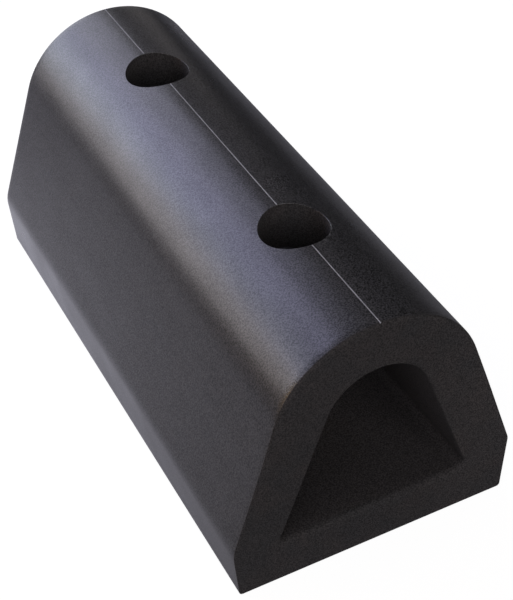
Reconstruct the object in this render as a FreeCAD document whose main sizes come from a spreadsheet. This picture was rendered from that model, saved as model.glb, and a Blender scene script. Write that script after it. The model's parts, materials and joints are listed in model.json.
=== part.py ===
"""Hollow D-section rubber bumper with a ground anchor standing in each of its base holes.

Frame: X across the section, Y along the extrusion, Z up, millimetres. The origin is the
middle of the underside. At rest the anchors stand in the base holes with their tips just
above the ground. Driven down, each one goes into the ground until its washer seats on
the floor of the hollow.
"""
import FreeCAD, Part
import math
import os

import Sketcher
from FreeCAD import Placement, Rotation, Vector

os.makedirs("parts", exist_ok=True)
doc = FreeCAD.newDocument("rubber_bumper")

# ---------------------------------------------------------------- driving dimensions
SIZES = (
    # rubber extrusion
    ("length", 254.0, "length along Y"),
    ("base_half_width", 60.0, "half width of the underside"),
    ("lip_height", 26.5, "height where the lip meets the flank"),
    ("lip_flare", 1.8, "how far the lip leans out on its way up"),
    ("height", 115.0, "underside to top of crown"),
    ("crown_radius", 44.7, "outer radius of the crown"),
    ("lip_blend", 8.0, "soft corner between lip and flank"),
    ("base_corner", 1.5, "rounded corner of the underside"),
    ("floor_height", 20.5, "thickness of the base wall"),
    ("floor_half_width", 42.6, "half width of the hollow at its floor"),
    ("hollow_top", 93.5, "top of the hollow"),
    ("hollow_radius", 22.6, "radius of the hollow's crown"),
    ("hollow_corner", 3.0, "rounded corner of the hollow's floor"),
    ("first_hole", 65.0, "front end to first hole"),
    ("hole_spacing", 128.5, "hole to hole along Y"),
    ("access_radius", 14.0, "access hole in the crown"),
    ("bolt_hole_radius", 8.3, "hole through the base wall"),
    ("line_width", 0.6, "guide line on the crown"),
    ("line_depth", 0.4, "depth of the guide line"),
    # fits shared by the anchor's pieces
    ("anchor_radius", 8.0, "outside of sleeve and shield"),
    ("anchor_bore", 5.4, "clear hole for the bolt"),
    ("tip_gap", 0.5, "anchor's tip above the ground at rest"),
    ("small_chamfer", 0.4, "broken edges of the steel pieces"),
    # cone nut
    ("cone_length", 13.0, "whole length"),
    ("cone_rim_height", 2.5, "height of the straight rim"),
    ("cone_rim_radius", 7.8, "radius of the straight rim"),
    ("cone_base_radius", 7.0, "wide end of the taper"),
    ("cone_top_radius", 5.4, "narrow end of the taper"),
    ("cone_bore", 4.6, "threaded bore"),
    ("rib_radius", 7.5, "outside of the keys that ride in the shield's slots"),
    ("rib_half_width", 0.3, "half width of a key"),
    ("rib_root", 4.7, "radius inside the cone's wall where a key starts"),
    # shield segments
    ("segment_lift", 9.0, "anchor's tip to foot of the shield"),
    ("segment_length", 35.0, "length of a segment"),
    ("segment_angle", 78.0, "degrees of the circle that a segment fills"),
    ("mouth_radius", 7.05, "inner radius at the foot"),
    ("mouth_height", 10.5, "height of the inner taper"),
    ("grip_first", 2.4, "foot to first grip groove"),
    ("grip_pitch", 2.4, "one grip groove to the next"),
    ("grip_depth", 0.4, "depth of a grip groove"),
    ("ring_height", 17.0, "foot of a segment to the wire ring"),
    ("ring_radius", 7.45, "centre line radius of the wire ring"),
    ("wire_radius", 0.5, "radius of the ring's wire"),
    ("ring_seat", 6.9, "radius of the ring's groove"),
    ("ring_room", 0.1, "groove wider than the wire, each side"),
    ("ring_angle", 340.0, "degrees that the split wire ring fills"),
    # ferrule and spacer sleeve
    ("skirt_height", 4.0, "ferrule's skirt over the segments"),
    ("skirt_bore", 7.35, "inner radius of the skirt"),
    ("neck_radius", 7.3, "top of a segment inside the skirt"),
    ("ferrule_rim", 3.0, "thickness of the ferrule's solid ring"),
    ("spacer_length", 25.0, "length of the spacer sleeve"),
    # washers
    ("washer_radius", 12.5, "flat washer, outside"),
    ("washer_thickness", 2.5, "flat washer"),
    ("spring_radius", 8.8, "spring washer, outside"),
    ("spring_bore", 5.3, "spring washer, inside"),
    ("spring_thickness", 2.4, "spring washer"),
    ("spring_angle", 351.0, "degrees that the split ring fills"),
    # bolt, M10
    ("head_gap", 0.1, "head above the spring washer"),
    ("head_height", 6.4, "hexagon head"),
    ("across_flats", 17.0, "hexagon head"),
    ("head_chamfer", 8.3, "radius where the head's top bevel starts"),
    ("shank_radius", 5.0, "plain shank"),
    ("shank_length", 43.0, "plain shank"),
    ("thread_radius", 4.5, "mean radius of the M10 thread"),
    ("bolt_length", 75.0, "under the head"),
    ("root_overlap", 0.5, "how far the shank's solid reaches into the head"),
    ("tip_bevel", 1.0, "bevel at the end of the thread"),
)
ANCHORS = {
    "near": "Sizes.first_hole - Sizes.length / 2",
    "far": "Sizes.first_hole + Sizes.hole_spacing - Sizes.length / 2",
}
SEGMENTS = 4
QUARTER_TURN = 90.0
HALF_HEX_SIDE = "30 deg"
GRIP_GROOVES = 5
CUTTER_MARGIN = 1.0
SAME_HEIGHT = 0.01

sheet = doc.addObject("Spreadsheet::Sheet", "Sizes")
for row, (alias, value, note) in enumerate(SIZES, start=1):
    sheet.set(f"A{row}", note)
    sheet.set(f"B{row}", str(value))
    sheet.setAlias(f"B{row}", alias)
doc.recompute()

# heights of the anchor's pieces above the ground at rest, from the tip up
SEGMENT_FOOT = "Sizes.tip_gap + Sizes.segment_lift"
FERRULE_FOOT = SEGMENT_FOOT + " + Sizes.segment_length - Sizes.skirt_height"
SPACER_FOOT = SEGMENT_FOOT + " + Sizes.segment_length + Sizes.ferrule_rim"
WASHER_FOOT = SPACER_FOOT + " + Sizes.spacer_length"
SPRING_FOOT = WASHER_FOOT + " + Sizes.washer_thickness"
HEAD_FOOT = SPRING_FOOT + " + Sizes.spring_thickness + Sizes.head_gap"


# ---------------------------------------------------------------- sketch helpers
def value_of(expression):
    """The value of an expression over the sheet's aliases."""
    return float(sheet.evalExpression(expression))


def new_body(label, at_y="0", at_z="0", turn=0.0):
    """A body with its own label, placed over a hole, at a height and turned about Z."""
    body = doc.addObject("PartDesign::Body", label)
    body.Label = label
    body.Placement = Placement(Vector(0, 0, 0), Rotation(Vector(0, 0, 1), turn))
    body.setExpression("Placement.Base.y", at_y)
    body.setExpression("Placement.Base.z", at_z)
    return body


def origin_feature(body, role):
    """The origin plane or axis of a body that has this role."""
    return next(item for item in body.Origin.OriginFeatures if item.Role == role)


def new_sketch(body, role, name, lift=None):
    """A sketch on an origin plane, lifted along its normal by an expression."""
    sketch = body.newObject("Sketcher::SketchObject", f"{body.Label}_{name}")
    sketch.AttachmentSupport = [(origin_feature(body, role), "")]
    sketch.MapMode = "FlatFace"
    if lift:
        sketch.setExpression("AttachmentOffset.Base.z", lift)
    return sketch


def pin_point(sketch, line, across, up):
    """Fix the start point of a line at two expressions, measured from the origin."""
    for kind, expression in (("DistanceX", across), ("DistanceY", up)):
        constraint = Sketcher.Constraint(kind, -1, 1, line, 1, value_of(expression))
        index = sketch.addConstraint(constraint)
        sketch.setExpression(f"Constraints[{index}]", expression)


def draw_polygon(sketch, corners):
    """A closed outline through corners, each a pair of expressions."""
    points = [Vector(value_of(across), value_of(up), 0) for across, up in corners]
    for index, point in enumerate(points):
        following = points[(index + 1) % len(points)]
        sketch.addGeometry(Part.LineSegment(point, following), False)
    for index, (across, up) in enumerate(corners):
        following = (index + 1) % len(corners)
        sketch.addConstraint(Sketcher.Constraint("Coincident", index, 2, following, 1))
        pin_point(sketch, index, across, up)


def draw_circle(sketch, radius, across="0", up="0"):
    """A circle whose radius and centre are expressions."""
    centre = Vector(value_of(across), value_of(up), 0)
    circle = Part.Circle(centre, Vector(0, 0, 1), value_of(radius))
    index = sketch.addGeometry(circle, False)
    constraint = sketch.addConstraint(Sketcher.Constraint("Radius", index, value_of(radius)))
    sketch.setExpression(f"Constraints[{constraint}]", radius)
    for kind, expression in (("DistanceX", across), ("DistanceY", up)):
        centre_constraint = Sketcher.Constraint(kind, -1, 1, index, 3, value_of(expression))
        constraint = sketch.addConstraint(centre_constraint)
        sketch.setExpression(f"Constraints[{constraint}]", expression)


def draw_arch(sketch, side_corners, top, radius):
    """A symmetric arch: right-hand corners from the bottom up, then a tangent crown arc."""
    right = [(value_of(across), value_of(up)) for across, up in side_corners]
    crown_radius = value_of(radius)
    centre_height = value_of(top) - crown_radius
    across, up = right[-1]
    reach = math.hypot(across, up - centre_height)
    angle = math.atan2(up - centre_height, across) + math.acos(crown_radius / reach)
    touch = Vector(crown_radius * math.cos(angle), centre_height + crown_radius * math.sin(angle), 0)
    path = [Vector(x, y, 0) for x, y in right] + [touch]
    mirrored = [Vector(-point.x, point.y, 0) for point in reversed(path)]
    sides = len(path) - 1

    for start, end in zip(path, path[1:]):
        sketch.addGeometry(Part.LineSegment(start, end), False)
    circle = Part.Circle(Vector(0, centre_height, 0), Vector(0, 0, 1), crown_radius)
    arc = sketch.addGeometry(Part.ArcOfCircle(circle, angle, math.pi - angle), False)
    for start, end in zip(mirrored, mirrored[1:]):
        sketch.addGeometry(Part.LineSegment(start, end), False)
    base = sketch.addGeometry(Part.LineSegment(mirrored[-1], path[0]), False)

    joined = [(line, line + 1) for line in range(sides - 1)]
    joined += [(line, line + 1) for line in range(arc + 1, base)]
    joined += [(base, 0)]
    for first, second in joined:
        sketch.addConstraint(Sketcher.Constraint("Coincident", first, 2, second, 1))
    sketch.addConstraint(Sketcher.Constraint("Tangent", sides - 1, 2, arc, 1))
    sketch.addConstraint(Sketcher.Constraint("Tangent", arc, 2, arc + 1, 1))
    for index, (across, up) in enumerate(side_corners):
        pin_point(sketch, index, across, up)
        pin_point(sketch, base - index, "-(" + across + ")", up)
    radius_constraint = sketch.addConstraint(Sketcher.Constraint("Radius", arc, crown_radius))
    sketch.setExpression(f"Constraints[{radius_constraint}]", radius)
    sketch.addConstraint(Sketcher.Constraint("PointOnObject", arc, 3, -2))
    centre = Sketcher.Constraint("DistanceY", -1, 1, arc, 3, centre_height)
    centre_constraint = sketch.addConstraint(centre)
    sketch.setExpression(f"Constraints[{centre_constraint}]", f"{top} - {radius}")


# ---------------------------------------------------------------- feature helpers
def add_feature(body, kind, name, profile, **settings):
    """A feature made from a sketch. Text settings that name the sheet are expressions."""
    feature = body.newObject(f"PartDesign::{kind}", f"{body.Label}_{name}")
    feature.Profile = profile
    for key, setting in settings.items():
        if isinstance(setting, str) and "Sizes." in setting:
            feature.setExpression(key, setting)
        else:
            setattr(feature, key, setting)
    profile.Visibility = False
    doc.recompute()
    return feature


def turn_profile(body, kind, name, corners, **settings):
    """Turn an outline in the XZ plane about the body's Z axis."""
    sketch = new_sketch(body, "XZ_Plane", f"{name}_profile")
    draw_polygon(sketch, corners)
    axis = (sketch, ["V_Axis"])
    return add_feature(body, kind, name, sketch, ReferenceAxis=axis, **settings)


def round_long_edges(body, feature, name, radius, height):
    """Fillet the edges of a feature that run along Y at this height."""
    level = value_of(height)
    names = []
    for index, edge in enumerate(feature.Shape.Edges, start=1):
        box = edge.BoundBox
        runs_along = box.YLength > value_of("Sizes.length") / 2
        if runs_along and abs(box.Center.z - level) < SAME_HEIGHT:
            names.append(f"Edge{index}")
    fillet = body.newObject("PartDesign::Fillet", f"{body.Label}_{name}")
    fillet.Base = (feature, names)
    fillet.setExpression("Radius", radius)
    doc.recompute()
    return fillet


def bevelled_ring(inner, outer, length):
    """Outline of a ring with broken outer corners."""
    bevel = "Sizes.small_chamfer"
    return [
        (inner, "0"),
        (f"{outer} - {bevel}", "0"),
        (outer, bevel),
        (outer, f"{length} - {bevel}"),
        (f"{outer} - {bevel}", length),
        (inner, length),
    ]


# ---------------------------------------------------------------- rubber extrusion
def draw_access_circle(sketch):
    """The first access hole, seen from above."""
    draw_circle(sketch, "Sizes.access_radius", up=ANCHORS["near"])


def make_rubber_body():
    body = new_body("rubber_body")
    section = new_sketch(body, "XZ_Plane", "section")
    lip = ("Sizes.base_half_width + Sizes.lip_flare", "Sizes.lip_height")
    corners = [("Sizes.base_half_width", "0"), lip]
    draw_arch(section, corners, "Sizes.height", "Sizes.crown_radius")
    block = add_feature(body, "Pad", "block", section, Length="Sizes.length", Midplane=True)
    block = round_long_edges(body, block, "lip_blends", "Sizes.lip_blend", "Sizes.lip_height")
    round_long_edges(body, block, "base_corners", "Sizes.base_corner", "0")

    opening = new_sketch(body, "XZ_Plane", "opening")
    corners = [("Sizes.floor_half_width", "Sizes.floor_height")]
    draw_arch(opening, corners, "Sizes.hollow_top", "Sizes.hollow_radius")
    hollow = add_feature(body, "Pocket", "hollow", opening, Type="ThroughAll", Midplane=True)
    round_long_edges(body, hollow, "hollow_corners", "Sizes.hollow_corner", "Sizes.floor_height")

    groove = new_sketch(body, "XZ_Plane", "line_groove")
    draw_polygon(groove, line_section(f"Sizes.height + {CUTTER_MARGIN}"))
    add_feature(body, "Pocket", "groove", groove, Type="ThroughAll", Midplane=True)

    middle = "(Sizes.floor_height + Sizes.hollow_top) / 2"
    access = new_sketch(body, "XY_Plane", "access_circle", lift=middle)
    draw_access_circle(access)
    upper = add_feature(body, "Pocket", "access", access, Type="ThroughAll", Reversed=True)
    bolt_circle = new_sketch(body, "XY_Plane", "bolt_circle", lift=middle)
    draw_circle(bolt_circle, "Sizes.bolt_hole_radius", up=ANCHORS["near"])
    lower = add_feature(body, "Pocket", "bolt_hole", bolt_circle, Type="ThroughAll")

    pattern = body.newObject("PartDesign::LinearPattern", "rubber_body_second_holes")
    pattern.Originals = [upper, lower]
    pattern.Direction = (origin_feature(body, "Y_Axis"), [""])
    pattern.setExpression("Length", "Sizes.hole_spacing")
    pattern.Occurrences = 2
    body.Tip = pattern
    return body


def line_section(top):
    """Section of the guide line, from its groove's floor up to a height."""
    half = "Sizes.line_width / 2"
    bottom = "Sizes.height - Sizes.line_depth"
    return [(f"-({half})", bottom), (half, bottom), (half, top), (f"-({half})", top)]


def make_guide_line():
    """The pale line let into the crown, in three lengths between the access holes."""
    body = new_body("centre_guide_line")
    body.AllowCompound = True
    section = new_sketch(body, "XZ_Plane", "section")
    draw_polygon(section, line_section("Sizes.height"))
    add_feature(body, "Pad", "strip", section, Length="Sizes.length", Midplane=True)
    circle = new_sketch(body, "XY_Plane", "access_circle")
    draw_access_circle(circle)
    gap = add_feature(body, "Pocket", "gap", circle, Type="ThroughAll", Reversed=True)
    pattern = body.newObject("PartDesign::LinearPattern", "centre_guide_line_gaps")
    pattern.Originals = [gap]
    pattern.Direction = (origin_feature(body, "Y_Axis"), [""])
    pattern.setExpression("Length", "Sizes.hole_spacing")
    pattern.Occurrences = 2
    body.Tip = pattern
    return body


# ---------------------------------------------------------------- anchor, from the tip up
def make_cone_nut(side, at_y):
    """The threaded cone, with four keys that ride in the slots between the segments."""
    half_quarter = QUARTER_TURN / 2
    body = new_body(f"{side}_cone_nut", at_y, "Sizes.tip_gap", half_quarter)
    turn_profile(body, "Revolution", "cone", [
        ("Sizes.cone_bore", "0"),
        ("Sizes.cone_rim_radius - Sizes.small_chamfer", "0"),
        ("Sizes.cone_rim_radius", "Sizes.small_chamfer"),
        ("Sizes.cone_rim_radius", "Sizes.cone_rim_height"),
        ("Sizes.cone_base_radius", "Sizes.cone_rim_height"),
        ("Sizes.cone_top_radius", "Sizes.cone_length"),
        ("Sizes.cone_bore", "Sizes.cone_length"),
    ])
    key = new_sketch(body, "XY_Plane", "key_outline", lift="Sizes.cone_rim_height")
    draw_polygon(key, [
        ("Sizes.rib_root", "-Sizes.rib_half_width"),
        ("Sizes.rib_radius", "-Sizes.rib_half_width"),
        ("Sizes.rib_radius", "Sizes.rib_half_width"),
        ("Sizes.rib_root", "Sizes.rib_half_width"),
    ])
    rib = add_feature(body, "Pad", "key", key, Length="Sizes.cone_length - Sizes.cone_rim_height")
    pattern = body.newObject("PartDesign::PolarPattern", f"{side}_cone_nut_keys")
    pattern.Originals = [rib]
    pattern.Axis = (origin_feature(body, "Z_Axis"), [""])
    pattern.Angle = SEGMENTS * QUARTER_TURN
    pattern.Occurrences = SEGMENTS
    body.Tip = pattern
    return body


def segment_corners():
    """Outline of a shield segment: foot, grip grooves, ring seat, neck, inner taper."""
    outer = "Sizes.anchor_radius"
    corners = [("Sizes.mouth_radius", "0"), (outer, "0")]
    for groove in range(GRIP_GROOVES):
        start = f"Sizes.grip_first + {groove} * Sizes.grip_pitch"
        corners.append((outer, start))
        corners.append((f"{outer} - Sizes.grip_depth", f"{start} + Sizes.grip_depth"))
        corners.append((outer, f"{start} + 2 * Sizes.grip_depth"))
    seat_half = "(Sizes.wire_radius + Sizes.ring_room)"
    shoulder = "Sizes.segment_length - Sizes.skirt_height"
    corners += [
        (outer, f"Sizes.ring_height - {seat_half}"),
        ("Sizes.ring_seat", f"Sizes.ring_height - {seat_half}"),
        ("Sizes.ring_seat", f"Sizes.ring_height + {seat_half}"),
        (outer, f"Sizes.ring_height + {seat_half}"),
        (outer, shoulder),
        ("Sizes.neck_radius", shoulder),
        ("Sizes.neck_radius", "Sizes.segment_length"),
        ("Sizes.anchor_bore", "Sizes.segment_length"),
        ("Sizes.anchor_bore", "Sizes.mouth_height"),
    ]
    return corners


def make_segments(side, at_y):
    """The four quarter shells of the shield, one body each, a slot apart."""
    bodies = []
    for number in range(SEGMENTS):
        label = f"{side}_shield_segment_{number + 1}"
        body = new_body(label, at_y, SEGMENT_FOOT, number * QUARTER_TURN)
        turn_profile(body, "Revolution", "shell", segment_corners(),
                     Angle="Sizes.segment_angle", Midplane=True)
        bodies.append(body)
    return bodies


def make_retaining_ring(side, at_y):
    """The split wire ring that keeps the four segments together."""
    body = new_body(f"{side}_retaining_ring", at_y, f"{SEGMENT_FOOT} + Sizes.ring_height")
    sketch = new_sketch(body, "XZ_Plane", "wire_section")
    draw_circle(sketch, "Sizes.wire_radius", across="Sizes.ring_radius")
    axis = (sketch, ["V_Axis"])
    add_feature(body, "Revolution", "ring", sketch, ReferenceAxis=axis, Angle="Sizes.ring_angle")
    return body


def make_ferrule(side, at_y):
    """The collar whose skirt holds the necks of the segments."""
    body = new_body(f"{side}_shield_ferrule", at_y, FERRULE_FOOT)
    whole = "Sizes.skirt_height + Sizes.ferrule_rim"
    turn_profile(body, "Revolution", "collar", [
        ("Sizes.skirt_bore", "0"),
        ("Sizes.anchor_radius", "0"),
        ("Sizes.anchor_radius", f"{whole} - Sizes.small_chamfer"),
        ("Sizes.anchor_radius - Sizes.small_chamfer", whole),
        ("Sizes.anchor_bore", whole),
        ("Sizes.anchor_bore", "Sizes.skirt_height"),
        ("Sizes.skirt_bore", "Sizes.skirt_height"),
    ])
    return body


def make_ring(label, at_y, at_z, inner, outer, length, **settings):
    """A plain ring: spacer sleeve, flat washer or spring washer."""
    body = new_body(label, at_y, at_z)
    turn_profile(body, "Revolution", "ring", bevelled_ring(inner, outer, length), **settings)
    return body


def make_bolt(side, at_y):
    """The hexagon bolt. Its own zero height is the underside of the head."""
    body = new_body(f"{side}_hex_bolt", at_y, HEAD_FOOT)
    flat = "Sizes.across_flats / 2"
    corner = f"{flat} / cos({HALF_HEX_SIDE})"
    side_up = f"{flat} * tan({HALF_HEX_SIDE})"
    hexagon = new_sketch(body, "XY_Plane", "hexagon")
    draw_polygon(hexagon, [
        (flat, f"-({side_up})"),
        (flat, side_up),
        ("0", corner),
        (f"-({flat})", side_up),
        (f"-({flat})", f"-({side_up})"),
        ("0", f"-({corner})"),
    ])
    add_feature(body, "Pad", "head", hexagon, Length="Sizes.head_height")
    bevel_run = "(Sizes.across_flats - Sizes.head_chamfer)"
    turn_profile(body, "Groove", "bevel", [
        ("Sizes.head_chamfer", "Sizes.head_height"),
        ("Sizes.across_flats", f"Sizes.head_height - {bevel_run} * tan({HALF_HEX_SIDE})"),
        ("Sizes.across_flats", "Sizes.head_height"),
    ])
    tip = "-Sizes.bolt_length"
    turn_profile(body, "Revolution", "shank", [
        ("0", "Sizes.root_overlap"),
        ("Sizes.shank_radius", "Sizes.root_overlap"),
        ("Sizes.shank_radius", "-Sizes.shank_length"),
        ("Sizes.thread_radius", "-Sizes.shank_length - (Sizes.shank_radius - Sizes.thread_radius)"),
        ("Sizes.thread_radius", f"{tip} + Sizes.tip_bevel"),
        ("Sizes.thread_radius - Sizes.tip_bevel", tip),
        ("0", tip),
    ])
    return body


def make_anchor(side, at_y):
    """Every piece of one ground anchor."""
    bore = "Sizes.anchor_bore"
    pieces = [make_cone_nut(side, at_y)]
    pieces += make_segments(side, at_y)
    pieces.append(make_retaining_ring(side, at_y))
    pieces.append(make_ferrule(side, at_y))
    pieces.append(make_ring(f"{side}_spacer_sleeve", at_y, SPACER_FOOT,
                            bore, "Sizes.anchor_radius", "Sizes.spacer_length"))
    pieces.append(make_ring(f"{side}_flat_washer", at_y, WASHER_FOOT,
                            bore, "Sizes.washer_radius", "Sizes.washer_thickness"))
    pieces.append(make_ring(f"{side}_spring_washer", at_y, SPRING_FOOT, "Sizes.spring_bore",
                            "Sizes.spring_radius", "Sizes.spring_thickness",
                            Angle="Sizes.spring_angle"))
    pieces.append(make_bolt(side, at_y))
    return pieces


# ---------------------------------------------------------------- build, test and write
def check_document():
    """Stop if any object of the document failed to recompute."""
    for item in doc.Objects:
        if "Invalid" in item.State or "Error" in item.State:
            raise RuntimeError(f"{item.Label} failed: {item.State}")


def write_piece(body):
    """Write one sub-part to its own file once its shape is sound."""
    shape = body.Shape
    if shape.isNull() or not shape.isValid() or not shape.Solids:
        raise RuntimeError(f"{body.Label} has no sound shape")
    shape.exportStep(f"parts/{body.Label}.step")
    print(f"{body.Label}: {len(shape.Solids)} solid, {shape.Volume / 1000:.2f} cm3")


pieces = [make_rubber_body(), make_guide_line()]
for side, at_y in ANCHORS.items():
    pieces += make_anchor(side, at_y)
doc.recompute()
check_document()
for piece in pieces:
    write_piece(piece)
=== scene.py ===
"""Looks of the hollow rubber bumper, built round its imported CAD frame.

Everything is in metres. X runs across the bumper, y along it from front to back, and z up.
"""

import json
import math

import bmesh
import bpy
from mathutils import Matrix, Vector, noise


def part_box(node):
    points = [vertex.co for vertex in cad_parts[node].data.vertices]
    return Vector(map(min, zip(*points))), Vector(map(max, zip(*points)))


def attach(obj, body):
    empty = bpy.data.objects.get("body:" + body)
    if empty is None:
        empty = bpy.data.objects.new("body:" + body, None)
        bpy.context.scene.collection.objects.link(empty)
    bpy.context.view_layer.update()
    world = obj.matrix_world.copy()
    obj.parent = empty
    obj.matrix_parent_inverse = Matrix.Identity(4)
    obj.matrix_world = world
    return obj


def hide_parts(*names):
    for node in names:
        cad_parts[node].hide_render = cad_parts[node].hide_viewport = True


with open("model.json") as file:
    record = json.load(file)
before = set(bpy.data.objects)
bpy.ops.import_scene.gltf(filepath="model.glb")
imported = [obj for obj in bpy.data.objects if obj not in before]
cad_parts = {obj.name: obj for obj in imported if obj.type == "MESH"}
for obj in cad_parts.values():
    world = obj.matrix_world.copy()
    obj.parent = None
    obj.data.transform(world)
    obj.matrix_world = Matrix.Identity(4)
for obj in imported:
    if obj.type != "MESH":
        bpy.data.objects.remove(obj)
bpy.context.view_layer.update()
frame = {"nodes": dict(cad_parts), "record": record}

MM = 0.001
SIDES = ("near", "far")
BODY_LOW, BODY_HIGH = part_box("rubber_body")
HEIGHT = BODY_HIGH.z


def hole_y(side):
    """Where the middle of an anchor and its two holes lie along the bumper."""
    low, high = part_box(f"{side}_flat_washer")
    return (low.y + high.y) / 2


# ------------------------------------------------------------------ camera
AIM = Vector((-3.7, -34.0, 57.5)) * MM
CAMERA_DISTANCE = 0.605
CAMERA_AZIMUTH = math.radians(25.48)
CAMERA_ELEVATION = math.radians(40.62)
CAMERA_ROLL = math.radians(-2.21)
CAMERA_LENS = 86.82
CAMERA_NEAREST = 0.01


def add_camera():
    """A long lens in front, to the left and above, rolled slightly."""
    level = math.cos(CAMERA_ELEVATION)
    forward = Vector((
        math.sin(CAMERA_AZIMUTH) * level,
        math.cos(CAMERA_AZIMUTH) * level,
        -math.sin(CAMERA_ELEVATION),
    ))
    data = bpy.data.cameras.new("photo_camera")
    data.lens = CAMERA_LENS
    data.clip_start = CAMERA_NEAREST
    camera = bpy.data.objects.new("photo_camera", data)
    turn = forward.to_track_quat("-Z", "Y").to_matrix().to_4x4()
    roll = Matrix.Rotation(CAMERA_ROLL, 4, "Z")
    camera.matrix_world = Matrix.Translation(AIM - forward * CAMERA_DISTANCE) @ turn @ roll
    bpy.context.scene.collection.objects.link(camera)
    bpy.context.scene.camera = camera


# ------------------------------------------------------------------ mesh helpers
def new_object(name, bm, materials):
    """An object in the scene from a bmesh, with its materials."""
    mesh = bpy.data.meshes.new(name)
    bm.to_mesh(mesh)
    bm.free()
    for material in materials:
        mesh.materials.append(material)
    obj = bpy.data.objects.new(name, mesh)
    bpy.context.scene.collection.objects.link(obj)
    return obj


def smooth_shade(obj, angle):
    """Smooth shading, with edges sharper than an angle in degrees left crisp."""
    for polygon in obj.data.polygons:
        polygon.use_smooth = True
    obj.data.set_sharp_from_angle(angle=math.radians(angle))


def bridge(bm, rings, material=0):
    """Quads between consecutive rings of vertices, in one of the object's materials."""
    for first, second in zip(rings, rings[1:]):
        count = len(first)
        for i in range(count):
            j = (i + 1) % count
            face = bm.faces.new((first[i], first[j], second[j], second[i]))
            face.material_index = material


# ------------------------------------------------------------------ the rubber's section
BASE_HALF_WIDTH = 60.0 * MM
BASE_CORNER = 1.5 * MM
LIP_HALF_WIDTH = 61.8 * MM
LIP_HEIGHT = {"left": 27.0 * MM, "right": 27.6 * MM}
LIP_BLEND = {"left": 18.0 * MM, "right": 7.0 * MM}
FRONT_SAG = {"left": 3.2 * MM, "right": 0.0}
SAG_RUN = 110.0 * MM
CROWN_RADIUS = 44.7 * MM
FLOOR_HALF_WIDTH = 42.6 * MM
FLOOR_HEIGHT = 20.5 * MM
HOLLOW_CORNER = 3.0 * MM
HOLLOW_TOP = 93.5 * MM
HOLLOW_RADIUS = 22.6 * MM
ARC_STEPS = 36
CORNER_STEPS = 4
OUTER_RUNS = (16, 8, 24)
INNER_RUNS = (16, 36)


def ease(value, start, stop):
    """A soft step from 0 at start to 1 at stop."""
    part = min(max((value - start) / (stop - start), 0.0), 1.0)
    return part * part * (3 - 2 * part)


def spread(start, end, steps):
    """Points from start, evenly spaced, leaving out the end."""
    return [start.lerp(end, i / steps) for i in range(steps)]


def fillet(before, corner, after, radius):
    """The arc that rounds a corner between two neighbours, both ends included."""
    one = (before - corner).normalized()
    two = (after - corner).normalized()
    half = one.angle(two) / 2
    centre = corner + (one + two).normalized() * (radius / math.sin(half))
    start = corner + one * (radius / math.tan(half)) - centre
    end = corner + two * (radius / math.tan(half)) - centre
    clockwise = start.angle_signed(end)
    points = []
    for i in range(CORNER_STEPS + 1):
        angle = -clockwise * i / CORNER_STEPS
        cos, sin = math.cos(angle), math.sin(angle)
        points.append(centre + Vector((start.x * cos - start.y * sin,
                                       start.x * sin + start.y * cos)))
    return points


def half_section(corners, top, radius, runs):
    """Right half of an arch, from the middle of its base to its apex.

    A corner is its distance from the middle, its height and the radius that rounds it. The
    last one's flank is tangent to the arc round the top. Runs are the steps in each straight.
    """
    centre = Vector((0, top - radius))
    places = [Vector((x, z)) for x, z, rounding in corners]
    roundings = [rounding for x, z, rounding in corners]
    reach = (places[-1] - centre).length
    angle = math.atan2(places[-1].y - centre.y, places[-1].x) + math.acos(radius / reach)
    touch = centre + Vector((math.cos(angle), math.sin(angle))) * radius
    stops = [Vector((0, places[0].y))] + places + [touch]
    points = []
    here = stops[0]
    for before, corner, after, rounding, run in zip(stops, places, stops[2:], roundings, runs):
        arc = fillet(before, corner, after, rounding)
        points += spread(here, arc[0], run) + arc[:-1]
        here = arc[-1]
    points += spread(here, touch, runs[-1])
    for i in range(ARC_STEPS + 1):
        turn = angle + (math.pi / 2 - angle) * i / ARC_STEPS
        points.append(centre + Vector((math.cos(turn), math.sin(turn))) * radius)
    return points


def whole_section(right, left):
    """The closed loop from a half for each side. They share the apex and the base's middle."""
    mirrored = [Vector((-point.x, point.y)) for point in reversed(left[1:-1])]
    return right + mirrored


def outward(loop):
    """Unit normals of a closed loop that runs anticlockwise."""
    normals = []
    count = len(loop)
    for i in range(count):
        along = (loop[(i + 1) % count] - loop[i - 1]).normalized()
        normals.append(Vector((along.y, -along.x)))
    return normals


def outer_half(side, y):
    """One half of the outside, cut at y. The left lip sags towards the front end."""
    sag = FRONT_SAG[side] * (1 - ease(y - BODY_LOW.y, 0.0, SAG_RUN))
    lip = (LIP_HALF_WIDTH, LIP_HEIGHT[side] - sag, LIP_BLEND[side])
    foot = (BASE_HALF_WIDTH, 0.0, BASE_CORNER)
    return half_section((foot, lip), HEIGHT, CROWN_RADIUS, OUTER_RUNS)


def outer_section(y):
    """The whole outside, cut at y."""
    return whole_section(outer_half("right", y), outer_half("left", y))


def inner_section():
    """The whole hollow, the same all along."""
    corner = (FLOOR_HALF_WIDTH, FLOOR_HEIGHT, HOLLOW_CORNER)
    half = half_section((corner,), HOLLOW_TOP, HOLLOW_RADIUS, INNER_RUNS)
    return whole_section(half, half)


def crown_height(x):
    """Height of the crown's surface at a distance from the middle."""
    return HEIGHT - CROWN_RADIUS + math.sqrt(CROWN_RADIUS ** 2 - x ** 2)


def base_height(x):
    """Height of the underside, which is flat on the ground at any distance from the middle."""
    return 0.0


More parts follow.
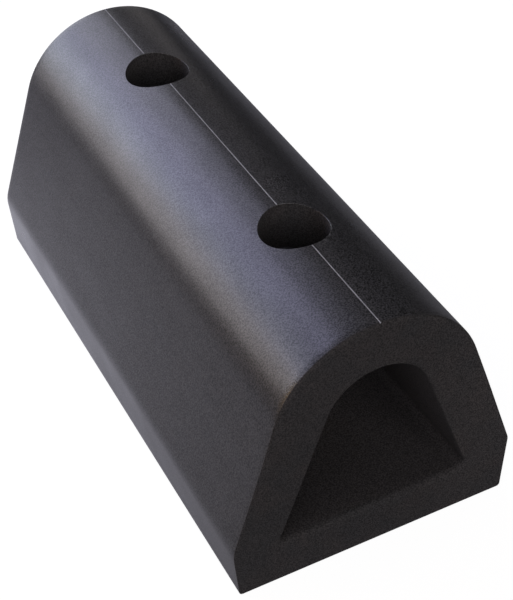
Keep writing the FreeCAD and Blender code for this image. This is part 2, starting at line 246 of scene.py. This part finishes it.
# ------------------------------------------------------------------ rubber body
SKIN, CUT, HOLLOW = range(3)
WALL, RIM = range(2)
LENGTH_STEPS = 84
CAP_RINGS = 10
SHARP_RIM = 0.3 * MM
CROWN_RIM = 1.3 * MM
CROWN_RIM_FROM = 60.0 * MM
CROWN_RIM_FULL = 95.0 * MM
HOLLOW_RIM = 0.7 * MM
FLOOR_RIM = 2.6 * MM
FLOOR_RIM_RUN = 6.0 * MM
RIM_STEPS = 5
ACCESS_RADIUS = 14.0 * MM
BOLT_HOLE_RADIUS = 8.3 * MM
HOLE_ROUND = 0.35 * MM
HOLE_STEPS = 96
CUTTER_REACH = 5.0 * MM
WELD = 0.003 * MM
BODY_CREASE = 30.0
SKIN_WAVE = 0.07 * MM
WAVE_SIZE = 55.0 * MM
WAVE_DEPTH = 0.6
RIPPLES_PER_WAVE = 2.7
RIPPLE_DEPTH = 0.5


def front_rim(point):
    """The front cut's edge: crisp on the flanks, softer over the crown."""
    return SHARP_RIM + (CROWN_RIM - SHARP_RIM) * ease(point.y, CROWN_RIM_FROM, CROWN_RIM_FULL)


def back_rim(point):
    """The back cut's edge, crisp at every point."""
    return SHARP_RIM


def hollow_rim(point):
    """The hollow's edge: worn round along its floor, crisp above."""
    above = ease(point.y, FLOOR_HEIGHT, FLOOR_HEIGHT + FLOOR_RIM_RUN)
    return FLOOR_RIM + (HOLLOW_RIM - FLOOR_RIM) * above


def rounded_end(bm, loop, end, rim, inward):
    """Rings that round the edge between a wall and a cut end, from the wall to the end.

    The rim gives the radius at each point. Inward is 1 for the outside and -1 for the hollow.
    """
    side = math.copysign(1, end)
    normals = outward(loop)
    rings = []
    for i in range(RIM_STEPS + 1):
        angle = math.pi / 2 * i / RIM_STEPS
        ring = []
        for point, normal in zip(loop, normals):
            radius = rim(point)
            shifted = point - normal * radius * (1 - math.cos(angle)) * inward
            y = end - side * radius * (1 - math.sin(angle))
            ring.append(bm.verts.new((shifted.x, y, shifted.y)))
        rings.append(ring)
    return rings


def rings_between(bm, first, last, steps):
    """Rings of vertices evenly spaced between two rings, both left out."""
    rings = []
    for i in range(1, steps):
        part = i / steps
        rings.append([bm.verts.new(a.co.lerp(b.co, part)) for a, b in zip(first, last)])
    return rings


def rings_along(bm, first, last):
    """Rings of the outside between two rings, each with the section cut at its own place."""
    rings = []
    for i in range(1, LENGTH_STEPS):
        part = i / LENGTH_STEPS
        section = outer_section(BODY_LOW.y + (BODY_HIGH.y - BODY_LOW.y) * part)
        ring = []
        for point, a, b in zip(section, first, last):
            ring.append(bm.verts.new((point.x, a.co.y + (b.co.y - a.co.y) * part, point.y)))
        rings.append(ring)
    return rings


def wear_skin(vertices):
    """Draw the skin in by a fraction of a millimetre, unevenly, as extruded rubber is."""
    for vertex in vertices:
        if vertex.co.z < BASE_CORNER:
            continue
        ripple = noise.noise(vertex.co * RIPPLES_PER_WAVE / WAVE_SIZE)
        wave = noise.noise(vertex.co / WAVE_SIZE) + RIPPLE_DEPTH * ripple
        inward = Vector((-vertex.co.x, 0, HEIGHT / 2 - vertex.co.z)).normalized()
        vertex.co += inward * SKIN_WAVE * (1 + WAVE_DEPTH * wave)


def hole_cutter(name, y, radius, surface, upwards, wall, rim):
    """A cutter for an upright hole, flared where it meets a surface so that the rim is rounded.

    It runs from the middle of the hollow out through the surface. Upwards is 1 through the
    crown and -1 through the base.
    """
    bm = bmesh.new()
    flare = []
    for i in range(RIM_STEPS + 1):
        angle = math.pi / 2 * i / RIM_STEPS
        reach = radius + HOLE_ROUND * (1 - math.cos(angle))
        depth = HOLE_ROUND * (1 - math.sin(angle))
        ring = []
        for j in range(HOLE_STEPS):
            turn = 2 * math.pi * j / HOLE_STEPS
            x = reach * math.cos(turn)
            ring.append(bm.verts.new((x, y + reach * math.sin(turn), surface(x) - upwards * depth)))
        flare.append(ring)
    start = (FLOOR_HEIGHT + HOLLOW_TOP) / 2
    floor = [bm.verts.new((v.co.x, v.co.y, start)) for v in flare[0]]
    lid = [bm.verts.new((v.co.x, v.co.y, v.co.z + upwards * CUTTER_REACH)) for v in flare[-1]]
    bridge(bm, [floor, flare[0]], WALL)
    bridge(bm, flare, RIM)
    bridge(bm, [flare[-1], lid], WALL)
    bm.faces.new(floor)
    bm.faces.new(lid)
    bmesh.ops.recalc_face_normals(bm, faces=bm.faces)
    return new_object(name, bm, [wall, rim])


def make_rubber_body(skin, cut, hollow):
    """The extrusion as one closed skin, with rounded cut ends and its four holes."""
    bm = bmesh.new()
    front, back = BODY_LOW.y, BODY_HIGH.y
    outer_front = rounded_end(bm, outer_section(front), front, front_rim, inward=1)
    outer_back = rounded_end(bm, outer_section(back), back, back_rim, inward=1)
    inner_front = rounded_end(bm, inner_section(), front, hollow_rim, inward=-1)
    inner_back = rounded_end(bm, inner_section(), back, hollow_rim, inward=-1)
    outside = rings_along(bm, outer_front[0], outer_back[0])
    inside = rings_between(bm, inner_back[0], inner_front[0], LENGTH_STEPS)
    wear_skin([v for ring in outer_front + outside + outer_back for v in ring])
    back_cap = rings_between(bm, outer_back[-1], inner_back[-1], CAP_RINGS)
    front_cap = rings_between(bm, inner_front[-1], outer_front[-1], CAP_RINGS)

    bridge(bm, [outer_front[0]] + outside + [outer_back[0]], SKIN)
    bridge(bm, [inner_back[0]] + inside + [inner_front[0]], HOLLOW)
    bridge(bm, outer_back + back_cap + inner_back[::-1], CUT)
    bridge(bm, inner_front + front_cap + outer_front[::-1], CUT)
    bmesh.ops.recalc_face_normals(bm, faces=bm.faces)
    body = new_object("rubber_bumper", bm, [skin, cut, hollow])

    drill_holes(body, cut, skin)
    smooth_shade(body, BODY_CREASE)
    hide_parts("rubber_body")
    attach(body, "bumper")


def drill_holes(body, cut, skin):
    """Two access holes through the crown and two bolt holes through the base."""
    cutters = []
    for side in SIDES:
        for name, radius, surface, upwards in (("access", ACCESS_RADIUS, crown_height, 1),
                                               ("bolt", BOLT_HOLE_RADIUS, base_height, -1)):
            cutters.append(hole_cutter(f"{side}_{name}_cutter", hole_y(side), radius, surface,
                                       upwards, cut, skin))
    for cutter in cutters:
        drill = body.modifiers.new(cutter.name, "BOOLEAN")
        drill.operation = "DIFFERENCE"
        drill.solver = "EXACT"
        drill.object = cutter
        drill.material_mode = "TRANSFER"
    apply_modifiers(body)
    for cutter in cutters:
        bpy.data.objects.remove(cutter)


def apply_modifiers(obj):
    """Bake an object's modifiers into its mesh, and weld the slivers that the cutting leaves."""
    graph = bpy.context.evaluated_depsgraph_get()
    mesh = bpy.data.meshes.new_from_object(obj.evaluated_get(graph))
    bm = bmesh.new()
    bm.from_mesh(mesh)
    bmesh.ops.remove_doubles(bm, verts=bm.verts, dist=WELD)
    bm.to_mesh(mesh)
    bm.free()
    obj.modifiers.clear()
    obj.data = mesh


# ------------------------------------------------------------------ guide line
LINE_HALF_WIDTH = 0.24 * MM
LINE_RISE = 0.06 * MM
LINE_SINK = 0.3 * MM
LINE_STEP = 2.0 * MM
LINE_ACROSS = (-1.0, -0.5, 0.5, 1.0)
LINE_UNEVEN = 0.25
LINE_WAVES = 150.0
LINE_CREASE = 50.0


def make_guide_line(material):
    """The pale line on the crown: three low ribs that stop at the access holes."""
    bm = bmesh.new()
    near, far = hole_y("near"), hole_y("far")
    rim = ACCESS_RADIUS + HOLE_ROUND
    top = HEIGHT - SKIN_WAVE
    stretches = (
        (BODY_LOW.y + CROWN_RIM / 2, near - rim),
        (near + rim, far - rim),
        (far + rim, BODY_HIGH.y - SHARP_RIM),
    )
    for start, stop in stretches:
        steps = round((stop - start) / LINE_STEP)
        rings = []
        for i in range(steps + 1):
            y = start + (stop - start) * i / steps
            half = LINE_HALF_WIDTH * (1 + LINE_UNEVEN * noise.noise(Vector((0, y * LINE_WAVES, 0))))
            ring = [bm.verts.new((across * half, y, top + LINE_RISE * (1 - across * across)))
                    for across in LINE_ACROSS]
            ring.append(bm.verts.new((half, y, top - LINE_SINK)))
            ring.append(bm.verts.new((-half, y, top - LINE_SINK)))
            rings.append(ring)
        bridge(bm, rings)
        bm.faces.new(rings[0])
        bm.faces.new(rings[-1])
    bmesh.ops.recalc_face_normals(bm, faces=bm.faces)
    line = new_object("guide_line_rib", bm, [material])
    smooth_shade(line, LINE_CREASE)
    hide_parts("centre_guide_line")
    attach(line, "bumper")


# ------------------------------------------------------------------ materials
# Noise scales are per metre, and bump depths are in metres.
GRAIN = 1700.0
NOISE_TURN = [math.radians(angle) for angle in (37.0, 23.0, 51.0)]
NOISE_LOW, NOISE_HIGH = 0.3, 0.7
UNSTRETCHED = (1.0, 1.0, 1.0)
SKIN_CLOUD = 45.0
SKIN_DIMPLES = 260.0
SKIN_SCUFFS = 110.0
SCUFF_STRETCH = (1.0, 0.3, 1.0)
SKIN_ROUGHNESS = (0.27, 0.33)
SKIN_GRAIN_SHINE = (0.28, 0.52)
SKIN_SCUFF_SHINE = (0.05, 0.15)
CUT_CLOUD = 70.0
CUT_ROUGHNESS = 0.85
SAW_LINES = 260.0
SAW_STRETCH = (0.04, 1.0, 1.0)
HOLLOW_ROUGHNESS = 0.8
DULL_SHINE = 0.3
LINE_WEAR = 300.0
LINE_ROUGHNESS = 0.7
METAL_CLOUD = 160.0
METAL_GLOSS = 420.0
METAL_STRETCH = (1.0, 1.0, 0.2)


def start_material(name, roughness, metallic=0.0):
    """A node material with a Principled shader, its tree and its coordinate node."""
    material = bpy.data.materials.new(name)
    material.use_nodes = True
    tree = material.node_tree
    shader = tree.nodes["Principled BSDF"]
    shader.inputs["Roughness"].default_value = roughness
    shader.inputs["Metallic"].default_value = metallic
    place = tree.nodes.new("ShaderNodeTexCoord")
    return material, tree, shader, place.outputs["Object"]


def add_noise(tree, place, scale, detail, stretch=UNSTRETCHED):
    """Fractal noise, stretched along the object's axes and then turned off them."""
    mapping = tree.nodes.new("ShaderNodeMapping")
    mapping.inputs["Scale"].default_value = stretch
    mapping.inputs["Rotation"].default_value = NOISE_TURN
    tree.links.new(place, mapping.inputs["Vector"])
    texture = tree.nodes.new("ShaderNodeTexNoise")
    texture.inputs["Scale"].default_value = scale
    texture.inputs["Detail"].default_value = detail
    tree.links.new(mapping.outputs["Vector"], texture.inputs["Vector"])
    return texture.outputs["Fac"]


def add_ramp(tree, value, stops):
    """A ramp over a value between two stops. Each is a position and a colour."""
    ramp = tree.nodes.new("ShaderNodeValToRGB")
    for element, (position, colour) in zip(ramp.color_ramp.elements, stops):
        element.position = position
        element.color = (*colour, 1.0)
    tree.links.new(value, ramp.inputs["Fac"])
    return ramp.outputs["Color"]


def add_range(tree, value, low, high):
    """A noise value spread over a range."""
    scaled = tree.nodes.new("ShaderNodeMapRange")
    scaled.inputs["From Min"].default_value = NOISE_LOW
    scaled.inputs["From Max"].default_value = NOISE_HIGH
    scaled.inputs["To Min"].default_value = low
    scaled.inputs["To Max"].default_value = high
    tree.links.new(value, scaled.inputs["Value"])
    return scaled.outputs["Result"]


def add_sum(tree, first, second):
    """Two values added."""
    total = tree.nodes.new("ShaderNodeMath")
    total.operation = "ADD"
    tree.links.new(first, total.inputs[0])
    tree.links.new(second, total.inputs[1])
    return total.outputs[0]


def add_product(tree, first, second):
    """Two colours multiplied."""
    product = tree.nodes.new("ShaderNodeMix")
    product.data_type = "RGBA"
    product.blend_type = "MULTIPLY"
    product.inputs["Factor"].default_value = 1.0
    tree.links.new(first, product.inputs["A"])
    tree.links.new(second, product.inputs["B"])
    return product.outputs["Result"]


def add_tone(tree, colour, place, axis, start, stop, low, high):
    """A colour multiplied by a factor that runs from low to high along an axis."""
    split = tree.nodes.new("ShaderNodeSeparateXYZ")
    tree.links.new(place, split.inputs["Vector"])
    tone = tree.nodes.new("ShaderNodeMapRange")
    tone.interpolation_type = "SMOOTHSTEP"
    tone.inputs["From Min"].default_value = start
    tone.inputs["From Max"].default_value = stop
    tone.inputs["To Min"].default_value = low
    tone.inputs["To Max"].default_value = high
    tree.links.new(split.outputs[axis], tone.inputs["Value"])
    product = tree.nodes.new("ShaderNodeVectorMath")
    product.operation = "SCALE"
    tree.links.new(colour, product.inputs["Vector"])
    tree.links.new(tone.outputs["Result"], product.inputs["Scale"])
    return product.outputs["Vector"]


def add_bump(tree, value, distance, strength, below=None):
    """A bump of a given depth, on top of another bump if one is given."""
    bump = tree.nodes.new("ShaderNodeBump")
    bump.inputs["Distance"].default_value = distance
    bump.inputs["Strength"].default_value = strength
    tree.links.new(value, bump.inputs["Height"])
    if below:
        tree.links.new(below, bump.inputs["Normal"])
    return bump.outputs["Normal"]


def rubber_skin():
    """Extruded skin: satin black with a fine grain, faint cloudiness and scuffs along its length."""
    material, tree, shader, place = start_material("rubber_skin", SKIN_ROUGHNESS[0])
    grain = add_noise(tree, place, GRAIN, 2)
    cloud = add_noise(tree, place, SKIN_CLOUD, 4)
    scuffs = add_noise(tree, place, SKIN_SCUFFS, 4, SCUFF_STRETCH)
    dimples = add_noise(tree, place, SKIN_DIMPLES, 3)
    colour = add_ramp(tree, grain, ((0.39, (0.002, 0.002, 0.002)), (0.61, (0.041, 0.040, 0.041))))
    tree.links.new(colour, shader.inputs["Base Color"])
    tree.links.new(add_range(tree, cloud, *SKIN_ROUGHNESS), shader.inputs["Roughness"])
    grain_shine = add_range(tree, grain, *SKIN_GRAIN_SHINE)
    shine = add_sum(tree, grain_shine, add_range(tree, scuffs, *SKIN_SCUFF_SHINE))
    tree.links.new(shine, shader.inputs["Specular IOR Level"])
    fine = add_bump(tree, grain, 0.06 * MM, 0.5)
    tree.links.new(add_bump(tree, dimples, 0.05 * MM, 0.3, fine), shader.inputs["Normal"])
    return material


def rubber_cut():
    """Sawn or drilled rubber: matte, brown-black, with faint saw lines, and painted light that makes
    it lighter to the right.
    """
    material, tree, shader, place = start_material("rubber_cut", CUT_ROUGHNESS)
    grain = add_noise(tree, place, GRAIN, 3)
    cloud = add_noise(tree, place, CUT_CLOUD, 4)
    saw = add_noise(tree, place, SAW_LINES, 2, SAW_STRETCH)
    warm = add_ramp(tree, cloud, ((0.35, (0.80, 0.78, 0.80)), (0.65, (1.0, 0.90, 0.88))))
    dust = add_ramp(tree, grain, ((0.37, (0.008, 0.008, 0.008)), (0.63, (0.037, 0.037, 0.037))))
    colour = add_product(tree, dust, warm)
    # Painted light: the colour is made up to 1.4 times lighter to the right, in place of more light
    # falling on that side.
    painted_light_right = add_tone(tree, colour, place, "X", 10 * MM, BASE_HALF_WIDTH, 1.0, 1.4)
    tree.links.new(painted_light_right, shader.inputs["Base Color"])
    shader.inputs["Specular IOR Level"].default_value = DULL_SHINE
    rough = add_bump(tree, grain, 0.12 * MM, 0.6)
    tree.links.new(add_bump(tree, saw, 0.08 * MM, 0.25, rough), shader.inputs["Normal"])
    return material


def rubber_hollow():
    """The hollow's unpolished skin: matte and finely mottled, with painted light that makes it
    lighter up its sides and from the front end inwards.
    """
    material, tree, shader, place = start_material("rubber_hollow", HOLLOW_ROUGHNESS)
    bloom = add_noise(tree, place, GRAIN, 3)
    colour = add_ramp(tree, bloom, ((0.37, (0.011, 0.010, 0.010)), (0.63, (0.049, 0.045, 0.045))))
    # Painted light: the colour is made lighter up the hollow's sides than on its floor, and lighter
    # from the front end towards the middle, in place of the light that reaches in there.
    painted_light_sides = add_tone(tree, colour, place, "Z", FLOOR_HEIGHT, FLOOR_HEIGHT + 10 * MM, 0.85, 1.3)
    painted_light_inwards = add_tone(tree, painted_light_sides, place, "Y", BODY_LOW.y, 0.0, 0.9, 1.7)
    tree.links.new(painted_light_inwards, shader.inputs["Base Color"])
    shader.inputs["Specular IOR Level"].default_value = DULL_SHINE
    tree.links.new(add_bump(tree, bloom, 0.06 * MM, 0.5), shader.inputs["Normal"])
    return material


def line_paint():
    """The pale grey line, matte and slightly uneven."""
    material, tree, shader, place = start_material("guide_line_grey", LINE_ROUGHNESS)
    wear = add_noise(tree, place, LINE_WEAR, 3)
    colour = add_ramp(tree, wear, ((NOISE_LOW, (0.17, 0.17, 0.175)),
                                   (NOISE_HIGH, (0.27, 0.27, 0.275))))
    tree.links.new(colour, shader.inputs["Base Color"])
    tree.links.new(add_bump(tree, wear, 0.05 * MM, 0.3), shader.inputs["Normal"])
    return material


def metal(name, dark, light, roughness, scratch_scale):
    """A plated or bare steel with cloudy colour and brushed micro-scratches."""
    material, tree, shader, place = start_material(name, roughness[0], metallic=1.0)
    cloud = add_noise(tree, place, METAL_CLOUD, 4)
    gloss = add_noise(tree, place, METAL_GLOSS, 3)
    scratches = add_noise(tree, place, scratch_scale, 2, METAL_STRETCH)
    colour = add_ramp(tree, cloud, ((NOISE_LOW, dark), (NOISE_HIGH, light)))
    tree.links.new(colour, shader.inputs["Base Color"])
    tree.links.new(add_range(tree, gloss, *roughness), shader.inputs["Roughness"])
    tree.links.new(add_bump(tree, scratches, 0.015 * MM, 0.25), shader.inputs["Normal"])
    return material


def dress_cad_nodes():
    """Give every anchor piece that stays as CAD its own finish."""
    zinc = metal("zinc_plate", (0.60, 0.62, 0.65), (0.72, 0.74, 0.77), (0.30, 0.40), 2600)
    spring = metal("oiled_spring_steel", (0.13, 0.13, 0.14), (0.19, 0.19, 0.20), (0.34, 0.44), 2200)
    yellow = metal("passivated_zinc", (0.60, 0.50, 0.27), (0.70, 0.62, 0.38), (0.32, 0.42), 2400)
    finishes = {"zinc_steel": zinc, "spring_steel": spring, "passivated_steel": yellow}
    for part in frame["record"]["subparts"]:
        if part["material_slot"] in finishes:
            materials = frame["nodes"][part["node"]].data.materials
            materials.clear()
            materials.append(finishes[part["material_slot"]])


# ------------------------------------------------------------------ floor and light
FLOOR_HALF_SIZE = 4.0
FLOOR_ALBEDO = 0.26
FLOOR_SEEN_GLOW = 0.94
FLOOR_SEEN_ALBEDO = 0.12
FLOOR_GLOW = 0.84
FLOOR_GLOW_TINT = (0.86, 0.86, 1.0, 1.0)
FLOOR_GLOW_CENTRE = (-0.045, 0.14)
FLOOR_GLOW_REACH = (0.21, 0.33)
BACKDROP_GLOW = 0.97
ROOM_GLOW = 0.03
LIGHT_DISTANCE = 1.3
SOFTBOXES = (
    # name, degrees from the back towards the left, degrees up, width, height, red green blue radiance
    ("bank_back_low", 15, 18, 0.90, 0.45, (3.3, 3.5, 4.0)),
    ("bank_left_low", 46, 13, 0.60, 0.50, (3.2, 3.0, 3.1)),
    ("bank_far_left", 75, 10, 0.50, 0.50, (2.2, 1.2, 0.1)),
    ("bank_middle", 40, 29, 0.80, 0.42, (1.9, 2.0, 2.8)),
    ("bank_middle_back", -4, 29, 0.55, 0.25, (1.7, 1.7, 1.8)),
    ("bank_high_left", 25, 41, 0.50, 0.50, (2.5, 2.5, 3.8)),
    ("bank_high_back", 1.6, 40.5, 0.53, 0.42, (1.8, 1.8, 2.5)),
    ("back_right_high", -25, 38, 0.60, 0.60, (0.15, 0.14, 0.15)),
    ("back_right_low", -27, 12, 0.35, 0.35, (0.42, 0.39, 0.39)),
    ("right_fill", -92, 32, 0.80, 0.80, (0.85, 0.8, 0.75)),
    ("overhead", 0, 88, 0.70, 0.70, (0.6, 0.6, 0.6)),
    ("front_left_fill", 130, 30, 0.80, 0.80, (2.3, 2.15, 2.25)),
    ("front_fill", 180, 25, 0.80, 0.80, (3.6, 3.4, 3.5)),
)


def grey(value):
    """A neutral colour."""
    return (value, value, value, 1.0)


def glowing(tree, albedo, tint):
    """A matte shader that also glows: the two as one, and the socket of the glow's strength."""
    matte = tree.nodes.new("ShaderNodeBsdfDiffuse")
    matte.inputs["Color"].default_value = grey(albedo)
    glow = tree.nodes.new("ShaderNodeEmission")
    glow.inputs["Color"].default_value = tint
    both = tree.nodes.new("ShaderNodeAddShader")
    tree.links.new(matte.outputs[0], both.inputs[0])
    tree.links.new(glow.outputs[0], both.inputs[1])
    return both.outputs[0], glow.inputs["Strength"]


def add_falloff(tree):
    """The glow's strength on the floor: full at its centre and none past its reach."""
    place = tree.nodes.new("ShaderNodeTexCoord")
    reach = tree.nodes.new("ShaderNodeMapping")
    shift = [-middle / extent for middle, extent in zip(FLOOR_GLOW_CENTRE, FLOOR_GLOW_REACH)]
    reach.inputs["Location"].default_value = (*shift, 0.0)
    reach.inputs["Scale"].default_value = (*[1 / extent for extent in FLOOR_GLOW_REACH], 1.0)
    tree.links.new(place.outputs["Object"], reach.inputs["Vector"])
    falloff = tree.nodes.new("ShaderNodeTexGradient")
    falloff.gradient_type = "SPHERICAL"
    tree.links.new(reach.outputs["Vector"], falloff.inputs["Vector"])
    strength = tree.nodes.new("ShaderNodeMath")
    strength.operation = "MULTIPLY"
    strength.inputs[1].default_value = FLOOR_GLOW
    tree.links.new(falloff.outputs["Fac"], strength.inputs[0])
    return strength.outputs[0]


def pale_floor():
    """Nearly white to the camera. What the rubber mirrors is darker, and glows near its foot."""
    material = bpy.data.materials.new("pale_floor")
    material.use_nodes = True
    tree = material.node_tree
    tree.nodes.clear()
    mirrored, mirrored_strength = glowing(tree, FLOOR_ALBEDO, FLOOR_GLOW_TINT)
    tree.links.new(add_falloff(tree), mirrored_strength)
    seen, seen_strength = glowing(tree, FLOOR_SEEN_ALBEDO, grey(1.0))
    seen_strength.default_value = FLOOR_SEEN_GLOW
    rays = tree.nodes.new("ShaderNodeLightPath")
    mix = tree.nodes.new("ShaderNodeMixShader")
    tree.links.new(rays.outputs["Is Camera Ray"], mix.inputs["Fac"])
    tree.links.new(mirrored, mix.inputs[1])
    tree.links.new(seen, mix.inputs[2])
    out = tree.nodes.new("ShaderNodeOutputMaterial")
    tree.links.new(mix.outputs[0], out.inputs["Surface"])
    return material


def add_floor():
    """A flat square sheet under the bumper."""
    bm = bmesh.new()
    bmesh.ops.create_grid(bm, x_segments=2, y_segments=2, size=FLOOR_HALF_SIZE)
    floor = new_object("studio_floor", bm, [pale_floor()])


def add_softbox(name, azimuth, elevation, width, height, radiance):
    """A softbox that looks at the bumper's middle."""
    across, up = math.radians(azimuth), math.radians(elevation)
    level = math.cos(up)
    towards = Vector((-math.sin(across) * level, math.cos(across) * level, math.sin(up)))
    strongest = max(radiance)
    data = bpy.data.lights.new(name, "AREA")
    data.shape = "RECTANGLE"
    data.size, data.size_y = width, height
    data.energy = math.pi * width * height * strongest
    data.color = [channel / strongest for channel in radiance]
    light = bpy.data.objects.new(name, data)
    light.rotation_euler = towards.to_track_quat("Z", "Y").to_euler()
    light.location = Vector((0, 0, HEIGHT / 2)) + towards * LIGHT_DISTANCE
    bpy.context.scene.collection.objects.link(light)


def add_world():
    """A pale backdrop for the camera, which lights the bumper only faintly."""
    world = bpy.data.worlds.new("studio")
    bpy.context.scene.world = world
    world.use_nodes = True
    tree = world.node_tree
    backdrop = tree.nodes["Background"]
    backdrop.inputs["Color"].default_value = grey(1.0)
    rays = tree.nodes.new("ShaderNodeLightPath")
    strength = tree.nodes.new("ShaderNodeMapRange")
    strength.inputs["To Min"].default_value = ROOM_GLOW
    strength.inputs["To Max"].default_value = BACKDROP_GLOW
    tree.links.new(rays.outputs["Is Camera Ray"], strength.inputs["Value"])
    tree.links.new(strength.outputs["Result"], backdrop.inputs["Strength"])


add_camera()
bpy.context.scene.view_settings.view_transform = "Standard"
add_world()
add_floor()
for softbox in SOFTBOXES:
    add_softbox(*softbox)
make_rubber_body(rubber_skin(), rubber_cut(), rubber_hollow())
make_guide_line(line_paint())
dress_cad_nodes()
